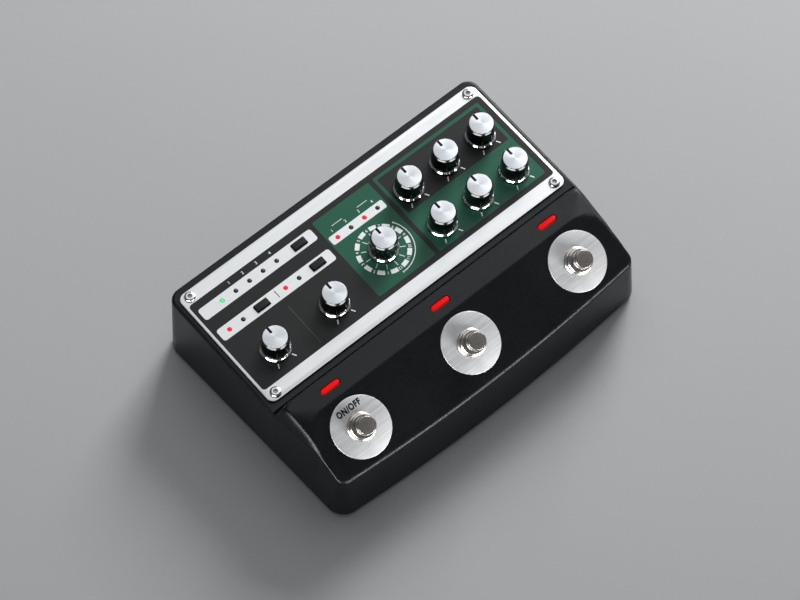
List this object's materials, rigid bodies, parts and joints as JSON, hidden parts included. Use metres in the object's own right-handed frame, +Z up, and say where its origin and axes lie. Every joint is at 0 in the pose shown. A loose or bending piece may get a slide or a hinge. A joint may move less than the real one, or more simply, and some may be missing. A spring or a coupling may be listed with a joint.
{
  "type": "delay pedal",
  "caption": "Floor-standing delay pedal: black cast case, printed silver control panel with turning knobs and push buttons, and a raised tilted pad with sprung footswitches and sockets behind.",
  "frame": {"origin": "on the floor, under the middle of the case's width and depth", "axes": "+X to the player's right, +Y to the rear sockets, +Z up"},
  "size_m": [0.192, 0.1308, 0.0538],
  "materials": {
    "case_black": "die-cast, satin black powder coat",
    "floor_black": "steel sheet, black paint",
    "screw_steel": "zinc",
    "foot_rubber": "moulded",
    "plate_silver": "brushed, printed",
    "bright_chrome": "polished",
    "board_green": "solder mask",
    "pot_metal": "tinned",
    "black_plastic": "moulded",
    "nickel": "nickel plated",
    "status_red": "translucent, lit",
    "light_green": "translucent, lit",
    "light_red": "translucent, lit",
    "light_dark": "translucent, unlit",
    "knob_black": "polished",
    "knob_silver": "spun and polished",
    "shaft_steel": "turned"
  },
  "bodies": {
    "pedal": {"top_case": "case_black", "bottom_plate": "floor_black", "bottom_screws": "screw_steel", "board_screws": "screw_steel", "rubber_feet": "foot_rubber", "panel_plate": "plate_silver", "switch_discs": "plate_silver", "panel_screws": "bright_chrome", "main_board": "board_green", "status_board": "board_green", "socket_board": "board_green", "pot_bodies": "pot_metal", "selector_body": "black_plastic", "button_switches": "black_plastic", "phone_jacks": "black_plastic", "mini_jacks": "black_plastic", "power_socket": "black_plastic", "shaft_nuts": "nickel", "jack_nuts": "nickel", "switch_nuts": "nickel", "switch_collars": "nickel", "switch_bodies": "nickel", "usb_socket": "nickel", "status_lenses": "status_red", "green_light": "light_green", "red_lights": "light_red", "dark_lights": "light_dark"},
    "saturation_dial": {"saturation_knob": "knob_black", "saturation_trim": "knob_silver", "saturation_shaft": "shaft_steel"},
    "wow_dial": {"wow_knob": "knob_black", "wow_trim": "knob_silver", "wow_shaft": "shaft_steel"},
    "mode_dial": {"mode_knob": "knob_black", "mode_trim": "knob_silver", "mode_shaft": "shaft_steel"},
    "bass_dial": {"bass_knob": "knob_black", "bass_trim": "knob_silver", "bass_shaft": "shaft_steel"},
    "treble_dial": {"treble_knob": "knob_black", "treble_trim": "knob_silver", "treble_shaft": "shaft_steel"},
    "reverb_dial": {"reverb_knob": "knob_black", "reverb_trim": "knob_silver", "reverb_shaft": "shaft_steel"},
    "repeat_dial": {"repeat_knob": "knob_black", "repeat_trim": "knob_silver", "repeat_shaft": "shaft_steel"},
    "intensity_dial": {"intensity_knob": "knob_black", "intensity_trim": "knob_silver", "intensity_shaft": "shaft_steel"},
    "echo_dial": {"echo_knob": "knob_black", "echo_trim": "knob_silver", "echo_shaft": "shaft_steel"},
    "left_press": {"left_plunger": "nickel"},
    "middle_press": {"middle_plunger": "nickel"},
    "right_press": {"right_plunger": "nickel"},
    "memory_key": {"memory_button": "black_plastic"},
    "input_key": {"input_button": "black_plastic"},
    "tape_key": {"tape_button": "black_plastic"}
  },
  "joints": [
    {"name": "saturation_turn", "type": "hinge", "parent": "pedal", "child": "saturation_dial", "pos_m": [-0.07041, 0.01011, 0.04063], "axis": [0, -0.0262, 0.9997], "range_deg": [-150, 150]},
    {"name": "wow_turn", "type": "hinge", "parent": "pedal", "child": "wow_dial", "pos_m": [-0.0355, 0.01011, 0.04063], "axis": [0, -0.0262, 0.9997], "range_deg": [-150, 150]},
    {"name": "mode_turn", "type": "hinge", "parent": "pedal", "child": "mode_dial", "pos_m": [0, 0.01741, 0.04083], "axis": [0, -0.0262, 0.9997], "range_deg": [-180, 150]},
    {"name": "bass_turn", "type": "hinge", "parent": "pedal", "child": "bass_dial", "pos_m": [0.0296, 0.0342, 0.04126], "axis": [0, -0.0262, 0.9997], "range_deg": [-150, 150]},
    {"name": "treble_turn", "type": "hinge", "parent": "pedal", "child": "treble_dial", "pos_m": [0.05175, 0.0342, 0.04126], "axis": [0, -0.0262, 0.9997], "range_deg": [-150, 150]},
    {"name": "reverb_turn", "type": "hinge", "parent": "pedal", "child": "reverb_dial", "pos_m": [0.0739, 0.0342, 0.04126], "axis": [0, -0.0262, 0.9997], "range_deg": [-150, 150]},
    {"name": "repeat_turn", "type": "hinge", "parent": "pedal", "child": "repeat_dial", "pos_m": [0.0296, 0.01011, 0.04063], "axis": [0, -0.0262, 0.9997], "range_deg": [-150, 150]},
    {"name": "intensity_turn", "type": "hinge", "parent": "pedal", "child": "intensity_dial", "pos_m": [0.05175, 0.01011, 0.04063], "axis": [0, -0.0262, 0.9997], "range_deg": [-150, 150]},
    {"name": "echo_turn", "type": "hinge", "parent": "pedal", "child": "echo_dial", "pos_m": [0.0739, 0.01011, 0.04063], "axis": [0, -0.0262, 0.9997], "range_deg": [-150, 150]},
    {"name": "left_footswitch", "type": "slide", "parent": "pedal", "child": "left_press", "axis": [0, 0.4384, -0.8988], "range_m": [0, 0.0025], "stiffness_N_per_m": 4000, "springref_m": -0.0015},
    {"name": "middle_footswitch", "type": "slide", "parent": "pedal", "child": "middle_press", "axis": [0, 0.4384, -0.8988], "range_m": [0, 0.0025], "stiffness_N_per_m": 4000, "springref_m": -0.0015},
    {"name": "right_footswitch", "type": "slide", "parent": "pedal", "child": "right_press", "axis": [0, 0.4384, -0.8988], "range_m": [0, 0.0025], "stiffness_N_per_m": 4000, "springref_m": -0.0015},
    {"name": "memory_push", "type": "slide", "parent": "pedal", "child": "memory_key", "axis": [0, 0.0262, -0.9997], "range_m": [0, 0.00035], "stiffness_N_per_m": 2500, "springref_m": -0.0003},
    {"name": "input_push", "type": "slide", "parent": "pedal", "child": "input_key", "axis": [0, 0.0262, -0.9997], "range_m": [0, 0.00035], "stiffness_N_per_m": 2500, "springref_m": -0.0003},
    {"name": "tape_push", "type": "slide", "parent": "pedal", "child": "tape_key", "axis": [0, 0.0262, -0.9997], "range_m": [0, 0.00035], "stiffness_N_per_m": 2500, "springref_m": -0.0003}
  ]
}
